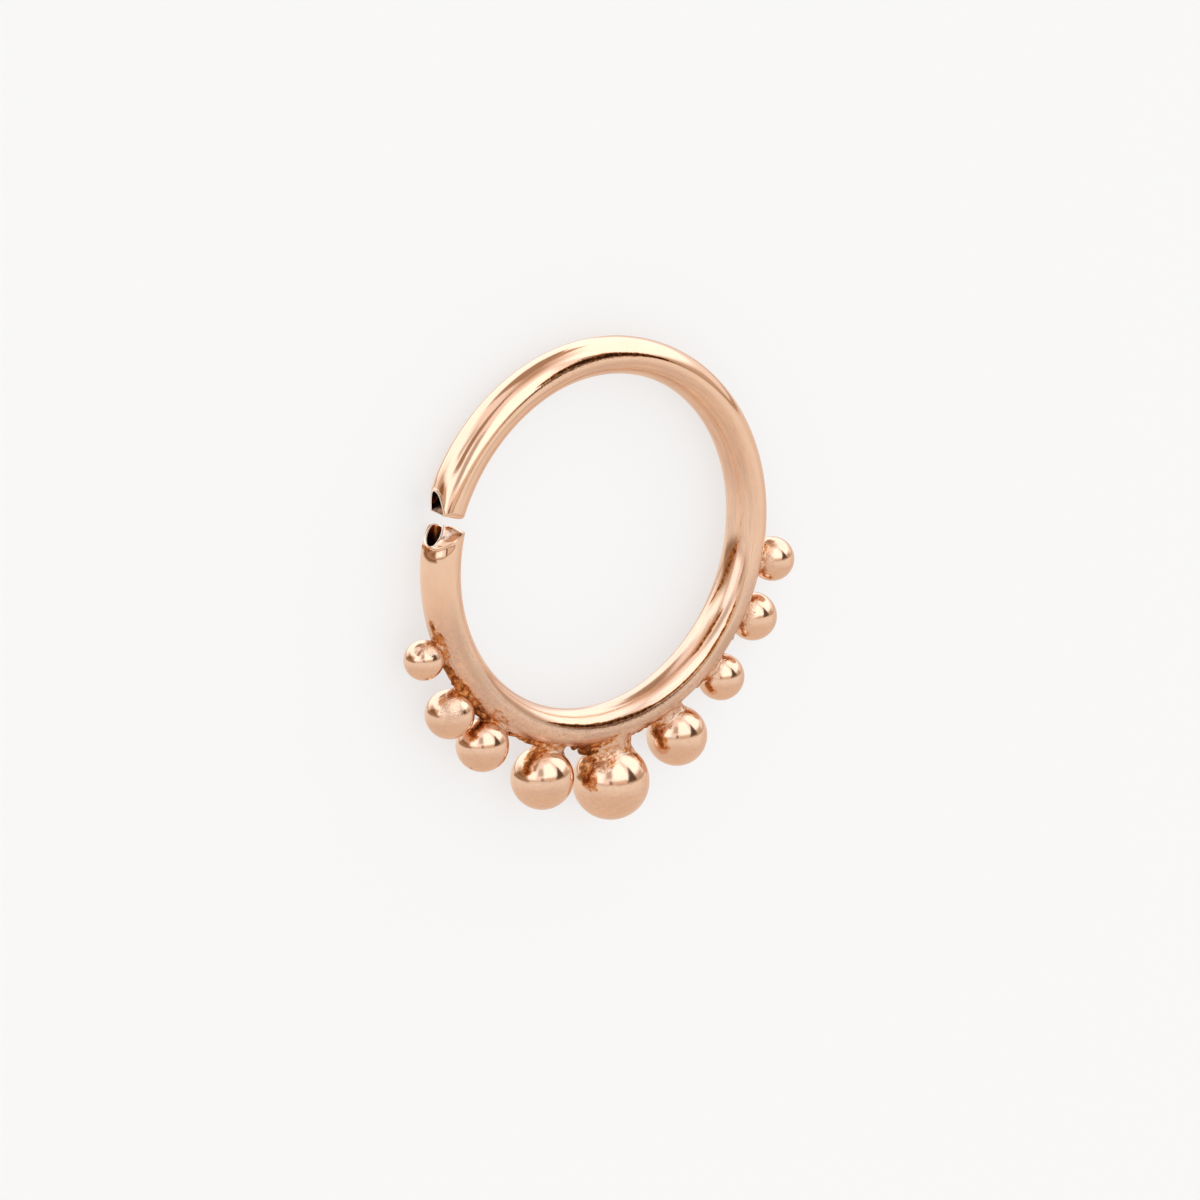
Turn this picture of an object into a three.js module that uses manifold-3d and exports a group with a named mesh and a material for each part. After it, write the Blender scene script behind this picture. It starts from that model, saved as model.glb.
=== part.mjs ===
// Helix hoop: a small split ring of thin gold tube with nine solid round beads soldered along
// its outer side, the largest in the middle of the row. The tube was bent from straight stock,
// which left its section a little flat, and its two ends meet at a narrow gap where the ear goes.
// Each end is filed off slantwise on its outer side, and that opens the bore.
//
// Units are millimetres. The hoop lies on its side, as it rests by itself: it stands on the
// lowest point of its largest bead and on the tube across from it, so its plane leans a little.
// +Z is up, -Y is the side of the largest bead, and the gap is on the -X side.

import * as THREE from "three";
import { mergeVertices } from "three/addons/utils/BufferGeometryUtils.js";
import Module from "manifold-3d";

// ---- Driving dimensions -------------------------------------------------------------------

const INNER_DIAMETER = 8.0; // the hoop's clear inside
const TUBE_RADIAL = 0.88; // the tube's thickness, measured in the hoop's plane
const TUBE_AXIAL = 1.07; // and across that plane
const WALL = 0.085; // sheet that the tube is drawn from
const RING_RADIUS = INNER_DIAMETER / 2 + TUBE_RADIAL / 2; // of the tube's centre line

const GAP_ANGLE = 160; // middle of the gap, in degrees from +X
const GAP = 0.31; // width of the gap along the centre line
const GAP_SPAN = THREE.MathUtils.radToDeg(GAP / RING_RADIUS);

// The last stretch of the tube at each end is sprung a little out of the true circle.
const SPRUNG_SPAN = 45; // degrees
const SPRING = {
  low: { radial: -0.01, axial: 0.03 },
  high: { radial: 0.09, axial: -0.01 },
};

// The slanted cut at each end, as a plane that leans in over the end.
const CUT = {
  low: { lean: 34, turn: -8, depth: 0.12 },
  high: { lean: 28, turn: -16, depth: 0.16 },
};
const END_PLUG = 0.06; // metal left between the bore and the square part of each end

// Beads, in order round the hoop from the gap: angle in degrees, radius, the gap that the
// solder fills between bead and tube (less than zero where the bead is sunk into it), and how
// far the bead's centre is off the hoop's plane.
const BEADS = [
  { angle: 198.0, radius: 0.475, solder: -0.04, off: 0 },
  { angle: 215.1, radius: 0.585, solder: -0.04, off: 0 },
  { angle: 228.9, radius: 0.63, solder: -0.07, off: 0 },
  { angle: 249.9, radius: 0.75, solder: 0.04, off: 0 },
  { angle: 270.0, radius: 0.91, solder: 0.12, off: 0 },
  { angle: 290.6, radius: 0.72, solder: 0.05, off: 0 },
  { angle: 309.0, radius: 0.56, solder: -0.03, off: -0.05 },
  { angle: 326.3, radius: 0.575, solder: -0.07, off: -0.1 },
  { angle: 341.5, radius: 0.525, solder: -0.01, off: -0.05 },
];
const NECK_WAIST = 0.6; // a solder neck's narrowest radius, as a share of its bead's
const NECK_FLARE = 1.2; // and its radius where it spreads on to the tube and the bead

const REST_FLAT = 0.01; // depth of the polished flats that the hoop stands on

// ---- Facets -------------------------------------------------------------------------------

const TUBE_SIDES = 20;
const BORE_SIDES = 10;
const TUBE_STEPS = 60;
const BEAD_SIDES = 16;
const BEAD_STACKS = 10;
const NECK_SIDES = 10;

// ---- Joining and cutting ------------------------------------------------------------------

const wasm = await Module();
wasm.setup();

function solid(geometry) {
  const bare = geometry.clone();
  bare.deleteAttribute("normal");
  bare.deleteAttribute("uv");
  const merged = mergeVertices(bare, 1e-4);
  return new wasm.Manifold(
    new wasm.Mesh({
      numProp: 3,
      vertProperties: merged.attributes.position.array,
      triVerts: new Uint32Array(merged.index.array),
    }),
  );
}

function geometryOf(body) {
  const mesh = body.getMesh();
  const geometry = new THREE.BufferGeometry();
  geometry.setAttribute("position", new THREE.BufferAttribute(mesh.vertProperties, 3));
  geometry.setIndex(new THREE.BufferAttribute(mesh.triVerts, 1));
  return geometry;
}

// ---- The hoop's centre line ---------------------------------------------------------------

const FIRST_ANGLE = GAP_ANGLE + GAP_SPAN / 2; // the low end
const LAST_ANGLE = GAP_ANGLE + 360 - GAP_SPAN / 2; // the high end

// How far the tube is sprung at an angle: nothing until the last stretch, where it grows as a square.
function sprung(angle) {
  const low = THREE.MathUtils.clamp(1 - (angle - FIRST_ANGLE) / SPRUNG_SPAN, 0, 1) ** 2;
  const high = THREE.MathUtils.clamp(1 - (LAST_ANGLE - angle) / SPRUNG_SPAN, 0, 1) ** 2;
  return {
    radial: low * SPRING.low.radial + high * SPRING.high.radial,
    axial: low * SPRING.low.axial + high * SPRING.high.axial,
  };
}

// A point of the hoop: angle in degrees, then radial and axial distance from the centre line.
function hoopPoint(angle, radial, axial) {
  const shift = sprung(angle);
  const radius = RING_RADIUS + shift.radial + radial;
  const turn = THREE.MathUtils.degToRad(angle);
  return new THREE.Vector3(
    radius * Math.cos(turn),
    radius * Math.sin(turn),
    shift.axial + axial,
  );
}

// A closed tube of oval section, bent round the hoop from one angle to another. It is a straight
// cylinder whose height runs along the centre line.
function bentTube(radialHalf, axialHalf, sides, from, to) {
  const geometry = new THREE.CylinderGeometry(1, 1, 1, sides, TUBE_STEPS);
  const place = geometry.attributes.position;
  for (let i = 0; i < place.count; i += 1) {
    const angle = THREE.MathUtils.lerp(from, to, place.getY(i) + 0.5);
    const point = hoopPoint(angle, radialHalf * place.getX(i), axialHalf * place.getZ(i));
    place.setXYZ(i, point.x, point.y, point.z);
  }
  return solid(geometry);
}

// ---- Pieces -------------------------------------------------------------------------------

function bead({ angle, radius, solder, off }) {
  const turn = THREE.MathUtils.degToRad(angle);
  const reach = INNER_DIAMETER / 2 + TUBE_RADIAL + solder + radius;
  const geometry = new THREE.SphereGeometry(radius, BEAD_SIDES, BEAD_STACKS);
  geometry.rotateX(Math.PI / 2);
  geometry.translate(reach * Math.cos(turn), reach * Math.sin(turn), off);
  return solid(geometry);
}

// The fillet of solder between a bead and the tube, turned about the line through both centres.
function solderNeck({ angle, radius, solder, off }) {
  const waist = NECK_WAIST * radius;
  const flare = NECK_FLARE * waist;
  const tubeFace = TUBE_RADIAL / 2;
  const overlap = radius - Math.sqrt(radius ** 2 - flare ** 2);
  const profile = [
    new THREE.Vector2(0, 0.3 * tubeFace),
    new THREE.Vector2(flare, 0.5 * tubeFace),
    new THREE.Vector2(waist, tubeFace + solder / 2),
    new THREE.Vector2(flare, tubeFace + solder + overlap),
    new THREE.Vector2(0, tubeFace + solder + radius),
  ];
  const geometry = new THREE.LatheGeometry(profile, NECK_SIDES);
  geometry.rotateZ(-Math.PI / 2);
  geometry.translate(RING_RADIUS, 0, off);
  geometry.rotateZ(THREE.MathUtils.degToRad(angle));
  return solid(geometry);
}

// The wedge that one end's slanted cut takes away: from a given depth beside the centre line at
// the square face, leaning outwards along the tube. side is +1 where the tube runs on towards
// greater angles, and -1 at the other end.
function endCut(angle, side, { lean, turn, depth }) {
  const reach = TUBE_RADIAL;
  const run = (reach - depth) / Math.tan(THREE.MathUtils.degToRad(lean));
  const outline = new THREE.Shape([
    new THREE.Vector2(depth, 0),
    new THREE.Vector2(reach, side * run),
    new THREE.Vector2(reach, (-side * GAP) / 3),
    new THREE.Vector2(depth, (-side * GAP) / 3),
  ]);
  const width = 2 * TUBE_AXIAL;
  const wedge = new THREE.ExtrudeGeometry(outline, { depth: width, bevelEnabled: false });
  wedge.translate(0, 0, -width / 2);
  wedge.rotateY(THREE.MathUtils.degToRad(-turn));
  const end = hoopPoint(angle, 0, 0);
  wedge.rotateZ(THREE.MathUtils.degToRad(angle));
  wedge.translate(end.x, end.y, end.z);
  return solid(wedge);
}

// ---- The hoop, joined and cut -------------------------------------------------------------

function hoopBody() {
  const plugSpan = THREE.MathUtils.radToDeg(END_PLUG / RING_RADIUS);
  const radialHalf = TUBE_RADIAL / 2;
  const axialHalf = TUBE_AXIAL / 2;
  const tube = bentTube(radialHalf, axialHalf, TUBE_SIDES, FIRST_ANGLE, LAST_ANGLE);
  const bore = bentTube(
    radialHalf - WALL,
    axialHalf - WALL,
    BORE_SIDES,
    FIRST_ANGLE + plugSpan,
    LAST_ANGLE - plugSpan,
  );
  return BEADS.reduce((whole, b) => whole.add(bead(b)).add(solderNeck(b)), tube)
    .subtract(bore)
    .subtract(endCut(FIRST_ANGLE, 1, CUT.low))
    .subtract(endCut(LAST_ANGLE, -1, CUT.high));
}

// How far the hoop's plane leans: it stands on its largest bead and on the tube opposite.
const largest = BEADS.reduce((a, b) => (b.radius > a.radius ? b : a));
const beadReach = INNER_DIAMETER / 2 + TUBE_RADIAL + largest.solder + largest.radius;
const LEAN = Math.asin((largest.radius - TUBE_AXIAL / 2) / (beadReach + RING_RADIUS));

// The hoop laid on the plane z = 0, centred over it, with the flats that it stands on.
function laidDown(body) {
  const leaning = body.rotate([-THREE.MathUtils.radToDeg(LEAN), 0, 0]);
  const box = leaning.boundingBox();
  const middle = [0, 1].map((i) => (box.min[i] + box.max[i]) / 2);
  const laid = leaning.translate([-middle[0], -middle[1], -box.min[2] - REST_FLAT]);
  const ground = new THREE.BoxGeometry(4 * RING_RADIUS, 4 * RING_RADIUS, 1);
  ground.translate(0, 0, -0.5);
  return laid.subtract(solid(ground));
}

const roseGold = new THREE.MeshStandardMaterial({
  color: 0xdcab89,
  roughness: 0.18,
  metalness: 1,
});

const hoop = new THREE.Mesh(geometryOf(laidDown(hoopBody())), roseGold);
hoop.name = "hoop";

const helixHoop = new THREE.Group();
helixHoop.add(hoop);

export default helixHoop;
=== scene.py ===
"""A helix hoop of thin rose gold tube with nine soldered beads, lying on its side on a pale floor.

Lengths are in millimetres until a mesh is made, and the hoop is shaped in its own frame first:
the centre of the ring is the origin, +Z is the ring's axis, and angles are degrees from +X.
"""

import math
from collections import namedtuple
from itertools import product

import bpy
import numpy as np
from mathutils import Matrix, Vector


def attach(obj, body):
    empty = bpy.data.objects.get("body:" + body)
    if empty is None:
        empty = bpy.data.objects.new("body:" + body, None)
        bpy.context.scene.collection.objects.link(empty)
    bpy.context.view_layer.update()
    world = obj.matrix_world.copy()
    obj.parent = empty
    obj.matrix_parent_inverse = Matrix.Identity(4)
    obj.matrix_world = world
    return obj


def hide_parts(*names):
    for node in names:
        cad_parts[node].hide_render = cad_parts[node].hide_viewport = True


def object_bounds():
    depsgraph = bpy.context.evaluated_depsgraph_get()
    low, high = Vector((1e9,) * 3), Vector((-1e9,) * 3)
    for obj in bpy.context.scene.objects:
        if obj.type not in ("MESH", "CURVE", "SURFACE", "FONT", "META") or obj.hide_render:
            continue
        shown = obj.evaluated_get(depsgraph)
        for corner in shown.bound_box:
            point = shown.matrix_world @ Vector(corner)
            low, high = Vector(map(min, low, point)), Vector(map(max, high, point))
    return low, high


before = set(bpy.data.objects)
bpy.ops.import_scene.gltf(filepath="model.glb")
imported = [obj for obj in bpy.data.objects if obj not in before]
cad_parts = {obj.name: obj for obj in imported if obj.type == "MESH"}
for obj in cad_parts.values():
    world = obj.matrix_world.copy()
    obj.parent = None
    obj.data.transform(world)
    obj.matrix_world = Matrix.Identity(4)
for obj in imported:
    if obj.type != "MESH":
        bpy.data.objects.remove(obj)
cad_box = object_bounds()

MM = 0.001  # metres in a millimetre

# ---- The hoop's sizes

INNER_DIAMETER = 8.0
TUBE_RADIAL = 0.88  # the tube's thickness in the hoop's plane
TUBE_AXIAL = 1.07  # and across it
WALL = 0.085
SKIN_HALF = (TUBE_RADIAL / 2, TUBE_AXIAL / 2)
BORE_HALF = (SKIN_HALF[0] - WALL, SKIN_HALF[1] - WALL)
RING_RADIUS = INNER_DIAMETER / 2 + TUBE_RADIAL / 2
MM_PER_DEGREE = math.radians(RING_RADIUS)

GAP_ANGLE = 160
GAP = 0.31
FIRST_ANGLE = GAP_ANGLE + GAP / MM_PER_DEGREE / 2
LAST_ANGLE = GAP_ANGLE + 360 - GAP / MM_PER_DEGREE / 2
SPRUNG_SPAN = 45  # degrees at each end that are sprung out of the circle
SPRING_LOW = (-0.01, 0.03)  # radial, axial
SPRING_HIGH = (0.09, -0.01)

# Each end is filed away on the outer side. Side is the way from there into the tube, as a sign.
# Seen in the section, the filing starts on a straight line: turn is the way it faces, start its
# distance outside the centre. From there it goes in by depth over the distance span, straight where
# bow is 1 and scooped where it is more. The mouth is an oval: its centre (radial, axial), half sizes
# and turn, cut off by a line like the first one at the distance chord. edge is the radius of the
# end's rounding, and taper how far the skin bends in there, as a share of the thickness. The next to
# last field is how dark the bore's shade is painted at the mouth and further in, and the last how
# bright a highlight is painted on the far wall's edge.
End = namedtuple(
    "End", "angle side turn start span depth bow mouth half mouth_turn chord edge taper soot shine"
)
ENDS = {
    "low": End(
        angle=FIRST_ANGLE, side=1, turn=12, start=-0.07, span=0.55, depth=0.495, bow=1,
        mouth=(0.155, -0.165), half=(0.335, 0.15), mouth_turn=51, chord=-1, edge=0.01,
        taper=0.075, soot=(0.5, 0.84), shine=0,
    ),
    "high": End(
        angle=LAST_ANGLE, side=-1, turn=-17, start=0.15, span=0.25, depth=0.45, bow=1.3,
        mouth=(0, 0.02), half=(0.38, 0.45), mouth_turn=0, chord=0.15, edge=0.09,
        taper=0.05, soot=(0.95, 0.82), shine=1,
    ),
}
FAR_HIGHLIGHT_SPAN = (292, 345)  # the section's angles where a highlight is painted on the far wall

# The low end's wall was hammered shut beside its mouth, which left creases in its face. Each lies
# at an angle of the section, with a half width in degrees and a height over the filed face.
Crease = namedtuple("Crease", "angle half height")
CREASES = [Crease(42, 24, 0.015), Crease(78, 20, 0.025), Crease(150, 38, 0.075)]

# Reflections painted on the low end's face: at an angle of the section, with a half width in
# degrees, between two shares of the way from the skin to the mouth, how bright a highlight and how
# dark a reflection is painted there.
PaintedFaceMark = namedtuple("PaintedFaceMark", "angle half low high worn burn")
PAINTED_FACE_MARKS = [
    PaintedFaceMark(130, 18, 0.08, 0.52, 0.85, 0),
    PaintedFaceMark(109, 15, 0.50, 0.74, 0.90, 0),
    PaintedFaceMark(122, 30, 0.80, 0.92, 0.60, 0),
    PaintedFaceMark(114, 6, 0.16, 0.46, 0, 0.60),
    PaintedFaceMark(140, 9, 0.68, 0.84, 0, 0.55),
    PaintedFaceMark(188, 32, 0.30, 0.95, 0, 0.42),
]

# Beads: angle, radius, the gap that solder fills (less than zero where the bead is sunk in),
# offset from the hoop's plane, and the radius of the solder neck.
Bead = namedtuple("Bead", "angle radius solder off neck")
BEADS = [
    Bead(198.0, 0.475, -0.04, 0, 0.24),
    Bead(215.1, 0.585, -0.04, 0, 0.30),
    Bead(228.9, 0.63, -0.07, 0, 0.34),
    Bead(249.9, 0.75, 0.04, 0, 0.40),
    Bead(270.0, 0.91, 0.12, 0, 0.60),
    Bead(290.6, 0.72, 0.05, 0, 0.42),
    Bead(309.0, 0.56, -0.03, -0.05, 0.32),
    Bead(326.3, 0.575, -0.07, -0.1, 0.32),
    Bead(341.5, 0.525, -0.01, -0.05, 0.30),
]

# Solder that has run along the tube beside a bead: the bead's number, the angles it runs between,
# its radial and axial place in the section, its thickness, and how burnt it is.
Run = namedtuple("Run", "bead start end radial axial thickness burn")
RUNS = [
    Run(1, 189.8, 194.0, 0.43, 0.08, 0.025, 0.65),
    Run(1, 193.0, 200.0, 0.41, 0.20, 0.070, 0.40),
    Run(1, 198.0, 204.5, 0.43, 0.12, 0.040, 0.50),
    Run(2, 203.5, 211.0, 0.44, 0.08, 0.090, 0.70),
    Run(2, 209.0, 217.0, 0.42, 0.18, 0.090, 0.55),
    Run(3, 219.0, 225.0, 0.46, 0.06, 0.095, 0.90),
    Run(4, 234.5, 243.0, 0.44, 0.08, 0.065, 0.55),
    Run(4, 240.0, 247.0, 0.43, 0.14, 0.070, 0.18),
    Run(5, 257.0, 264.0, 0.43, 0.14, 0.080, 0.75),
    Run(5, 261.0, 265.5, 0.56, 0.06, 0.120, 0.85),
    Run(5, 263.0, 279.0, 0.39, 0.24, 0.060, 0.35),
    Run(6, 277.0, 286.0, 0.41, 0.20, 0.050, 0.60),
    Run(7, 301.0, 312.0, 0.41, 0.18, 0.060, 0.15),
    Run(8, 318.0, 330.0, 0.41, 0.18, 0.060, 0.15),
    Run(9, 334.0, 345.0, 0.42, 0.14, 0.050, 0.20),
]

# Scale that the flame has burnt on to the beads: from one direction to another, both seen from the
# bead's centre (outwards, along the tube, axial), with a half width in millimetres.
Scorch = namedtuple("Scorch", "bead start end half burn")
SCORCHES = [
    Scorch(2, (-0.86, -0.42, 0.20), (-0.75, -0.20, 0.62), 0.05, 0.39),
    Scorch(3, (-0.60, -0.76, 0.20), (-0.10, -0.90, 0.38), 0.10, 0.62),
    Scorch(3, (-0.10, -0.90, 0.38), (0.12, -0.90, 0.40), 0.06, 0.35),
    Scorch(4, (-0.74, -0.66, 0.08), (-0.45, -0.85, 0.22), 0.11, 0.55),
    Scorch(4, (-0.45, -0.85, 0.22), (-0.20, -0.92, 0.32), 0.08, 0.74),
    Scorch(5, (-0.66, -0.74, -0.10), (-0.34, -0.92, 0.20), 0.13, 0.66),
    Scorch(5, (-0.50, -0.80, 0.30), (-0.18, -0.89, 0.41), 0.14, 0.36),
    Scorch(5, (-0.78, -0.60, 0.15), (-0.62, -0.74, 0.22), 0.10, 0.42),
    Scorch(6, (-0.70, -0.70, 0.09), (-0.33, -0.84, 0.42), 0.08, 0.66),
    Scorch(6, (-0.45, -0.72, 0.50), (-0.25, -0.78, 0.56), 0.07, 0.39),
    Scorch(7, (-0.50, -0.78, 0.35), (-0.42, -0.82, 0.40), 0.08, 0.58),
    Scorch(8, (-0.36, -0.86, 0.34), (-0.30, -0.88, 0.38), 0.05, 0.47),
    Scorch(9, (-0.37, -0.80, 0.46), (-0.30, -0.82, 0.50), 0.04, 0.47),
    Scorch(3, (0.97, -0.11, 0.20), (0.97, -0.09, 0.20), 0.02, 0.78),
    Scorch(4, (0.83, 0.24, 0.51), (0.83, 0.26, 0.51), 0.015, 0.78),
]

# Patches where solder has flowed thinly over a bead, by the direction of the middle and the
# radius: how grainy each is, and how burnt.
Film = namedtuple("Film", "bead middle radius grain burn")
FILMS = [
    Film(1, (-0.28, -0.75, 0.60), 0.18, 0.7, 0.12),
    Film(2, (0.01, -0.66, 0.75), 0.27, 0.8, 0.0),
    Film(5, (-0.80, -0.45, 0.40), 0.30, 1.0, 0.22),
    Film(7, (-0.88, -0.10, 0.46), 0.20, 1.0, 0.10),
    Film(8, (-0.84, -0.05, 0.54), 0.24, 1.0, 0.10),
    Film(9, (-0.82, -0.05, 0.57), 0.22, 1.0, 0.10),
]

# Spots of flux that have pitted the tube: the angle round the hoop, the section's angle, the radius.
Spatter = namedtuple("Spatter", "angle section radius")
SPATTERS = [
    Spatter(212, 20, 0.20),
    Spatter(218, 28, 0.25),
    Spatter(224, 38, 0.28),
    Spatter(228, 42, 0.22),
    Spatter(247, 30, 0.22),
]

# Dark lines along the tube, painted dark reflections. They are most likely reflections, but the
# studio doesn't give them, so they are marked on the metal, and are right only near the camera's
# own angle. The studio doesn't give them, so they are painted on the metal, and are right only near
# the camera's own angle. For each: how dark it is painted, and the places that it goes through, as
# the angle round the hoop, the section's angle and the half width in its degrees.
PaintedDarkReflection = namedtuple("PaintedDarkReflection", "burn places")
PAINTED_DARK_REFLECTIONS = [
    PaintedDarkReflection(1.05, (
        (240, 107, 0), (246, 108, 3.5), (254, 109, 5.5),
        (270, 111.5, 6), (279, 110.5, 5), (290, 108, 0),
    )),
    PaintedDarkReflection(1.05, (
        (418, 78, 0), (428, 77, 3.5), (436, 76, 5.5), (444, 72, 6.5),
        (456, 70.5, 6), (466, 71, 4), (474, 70, 0),
    )),
    PaintedDarkReflection(0.60, (
        (322, 188, 0), (327, 181, 4), (333, 172, 7),
        (339, 166, 8), (344.5, 159, 6), (347.5, 150, 0),
    )),
    PaintedDarkReflection(0.78, (
        (282, 109, 0), (288, 108, 3), (306, 108, 3),
        (316, 111, 3.4), (326, 114, 2.8), (330, 116, 0),
    )),
    PaintedDarkReflection(0.75, (
        (303, 143, 0), (308, 143, 3), (316, 144.5, 4.5), (321, 142, 3.5), (325, 140, 0),
    )),
]

# Fine darker lines along the tube: between two angles round the hoop, at a section's angle that is
# given at one angle round the hoop and moves by slope for each degree from there.
Seam = namedtuple("Seam", "span angle section slope depth")
SEAMS = [
    Seam((462, 512), 510, 80, -0.5, 1.0),
    Seam((376, 446), 412, 143, -0.4, 0.6),
    Seam((376, 446), 420, 120, -0.18, 0.5),
]
SEAM_HALF = 2.5  # degrees of the section

REST_FLAT = 0.01  # depth of the polished flats that the hoop stands on

# What each noise starts from, before a bead's number is added.
SEEDS = {
    "swell": 3, "bead": 20, "ragged": 40, "shade": 60, "spatter": 70, "flux": 73, "bore": 75,
    "outline": 80, "painted_dark_line": 90,
}

# ---- Shape helpers

NOISE_TABLE = 4096
NOISE_PRIMES = (73856093, 19349663, 83492791)


def sprung(angle):
    low = np.clip(1 - (angle - FIRST_ANGLE) / SPRUNG_SPAN, 0, 1) ** 2
    high = np.clip(1 - (LAST_ANGLE - angle) / SPRUNG_SPAN, 0, 1) ** 2
    return [low * a + high * b for a, b in zip(SPRING_LOW, SPRING_HIGH)]


def hoop_point(angle, radial, axial):
    """The point at an angle round the hoop, and at a place in the tube's section."""
    radial_shift, axial_shift = sprung(angle)
    radius = RING_RADIUS + radial_shift + radial
    turn = np.radians(angle)
    return np.stack([radius * np.cos(turn), radius * np.sin(turn), axial_shift + axial], -1)


def oval(turn, half, centre=(0, 0), lean=0.0):
    """The place in a section of an oval's points. turn is in radians and lean in degrees."""
    tilt = math.radians(lean)
    a = half[0] * np.cos(turn - tilt)
    b = half[1] * np.sin(turn - tilt)
    radial = centre[0] + a * math.cos(tilt) - b * math.sin(tilt)
    axial = centre[1] + a * math.sin(tilt) + b * math.cos(tilt)
    return radial, axial


def ring_angle(points):
    """The angle round the hoop of points, counted upwards from the gap."""
    angle = np.degrees(np.arctan2(points[..., 1], points[..., 0])) % 360
    return np.where(angle < GAP_ANGLE, angle + 360, angle)


def in_section(points):
    """The angle round the hoop of points, and their place in the tube's section."""
    angle = ring_angle(points)
    radial_shift, axial_shift = sprung(angle)
    radial = np.hypot(points[..., 0], points[..., 1]) - RING_RADIUS - radial_shift
    return angle, radial, points[..., 2] - axial_shift


def bead_reach(bead):
    return INNER_DIAMETER / 2 + TUBE_RADIAL + bead.solder + bead.radius


def bead_centre(bead):
    outwards, _, axial = bead_axes(bead)
    return bead_reach(bead) * outwards + bead.off * axial


def bead_axes(bead):
    """Outwards, along the tube, and along the ring's axis, at a bead."""
    c, s = math.cos(math.radians(bead.angle)), math.sin(math.radians(bead.angle))
    return np.array([[c, s, 0], [-s, c, 0], [0, 0, 1]])


def of_bead(rows, number):
    return [row for row in rows if row.bead == number]


def smoothstep(low, high, value):
    t = np.clip((value - low) / (high - low), 0, 1)
    return t * t * (3 - 2 * t)


def faded(low, high, value):
    return 1 - smoothstep(low, high, value)


def between(value, span, soft=12):
    """1 inside a span and 0 outside it, blended over a distance of soft to both sides."""
    low, high = span
    return smoothstep(low - soft, low + soft, value) * faded(high - soft, high + soft, value)


def lumps(points, size, seed):
    """Smooth noise from 0 to 1, with lumps about as wide as size."""
    table = np.random.default_rng(seed).random(NOISE_TABLE)
    cell = np.floor(points / size).astype(np.int64)
    part = points / size - cell
    part = part * part * (3 - 2 * part)
    total = np.zeros(points.shape[:-1])
    for corner in product((0, 1), repeat=3):
        x, y, z = np.moveaxis((cell + corner) * NOISE_PRIMES, -1, 0)
        key = (x ^ y ^ z) & (NOISE_TABLE - 1)
        share = np.prod(np.where(corner, part, 1 - part), axis=-1)
        total += share * table[key]
    return total


def layered(points, layers, seed, step):
    """Noise round zero with lumps of several sizes, from the width and height of each size."""
    return sum(h * (lumps(points, w, seed + step * k) - 0.5) for k, (w, h) in enumerate(layers))


# ---- Distances, for the solder


def tube_distance(points):
    _, radial, axial = in_section(points)
    a, b = SKIN_HALF
    near = np.hypot(radial / a, axial / b)
    steep = np.hypot(radial / a**2, axial / b**2)
    return near * (near - 1) / np.maximum(steep, 1e-6)


def ball_distance(points, centre, radius):
    return np.linalg.norm(points - centre, axis=-1) - radius


def rod_distance(points, start, end, radius):
    line = end - start
    share = np.clip((points - start) @ line / (line @ line), 0, 1)
    return np.linalg.norm(points - start - share[..., None] * line, axis=-1) - radius


def melted(a, b, spread):
    """The smaller of two distances, with a fillet about as wide as spread where they meet."""
    share = np.clip(0.5 + 0.5 * (b - a) / spread, 0, 1)
    return b * (1 - share) + a * share - spread * share * (1 - share)


FILLET = 0.14
NECK_BURIED = 0.3  # how far a neck's foot goes into the tube, as a share of the tube's thickness
NECK_REACH = 0.68  # the deepest that the foot's round end may go into the tube
NECK_FLATNESS = 0.72  # a neck's width across the hoop's plane, as a share of its width along it
FILM_DEPTH = 0.006  # solder thinner than this doesn't show
ROUGH_DEPTH = 0.03  # solder thicker than this is as rough as it gets
GRAIN = ((0.16, 0.045), (0.075, 0.034), (0.04, 0.016))  # width and height of the solder's lumps
GRAIN_SEED_STEP = 7  # from one size of lumps to the next


def solder_sources(points, number):
    """Distances from a bead's solder neck and from the solder that has run beside it."""
    bead = BEADS[number - 1]
    centre = bead_centre(bead)
    outwards, _, _ = bead_axes(bead)
    buried = min(NECK_BURIED * TUBE_RADIAL, NECK_REACH - bead.neck)
    foot = centre - outwards * (bead.radius + bead.solder + buried)
    flattened = centre + (points - centre) * (1, 1, 1 / NECK_FLATNESS)
    sources = [rod_distance(flattened, foot, centre, bead.neck)]
    for run in of_bead(RUNS, number):
        ends = hoop_point(np.array([run.start, run.end]), run.radial, run.axial)
        sources.append(rod_distance(points, *ends, run.thickness))
    return sources


def solder_distance(points, number):
    bead = BEADS[number - 1]
    tube = tube_distance(points)
    ball = ball_distance(points, bead_centre(bead), bead.radius)
    neck, *runs = solder_sources(points, number)
    whole = melted(melted(tube, neck, FILLET), ball, FILLET)
    for run in runs:
        whole = melted(whole, run, FILLET / 2)
    thickness = np.minimum(tube, ball) - whole
    rough = layered(points, GRAIN, number, GRAIN_SEED_STEP)
    return whole + FILM_DEPTH - rough * smoothstep(0, ROUGH_DEPTH, thickness)


# ---- Meshes

LARGEST = max(BEADS, key=lambda b: b.radius)
LEAN = math.asin((LARGEST.radius - SKIN_HALF[1]) / (bead_reach(LARGEST) + RING_RADIUS))


def leaned(points):
    c, s = math.cos(LEAN), math.sin(LEAN)
    x, y, z = np.moveaxis(np.asarray(points, float), -1, 0)
    return np.stack([x, y * c + z * s, z * c - y * s], -1)


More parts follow.
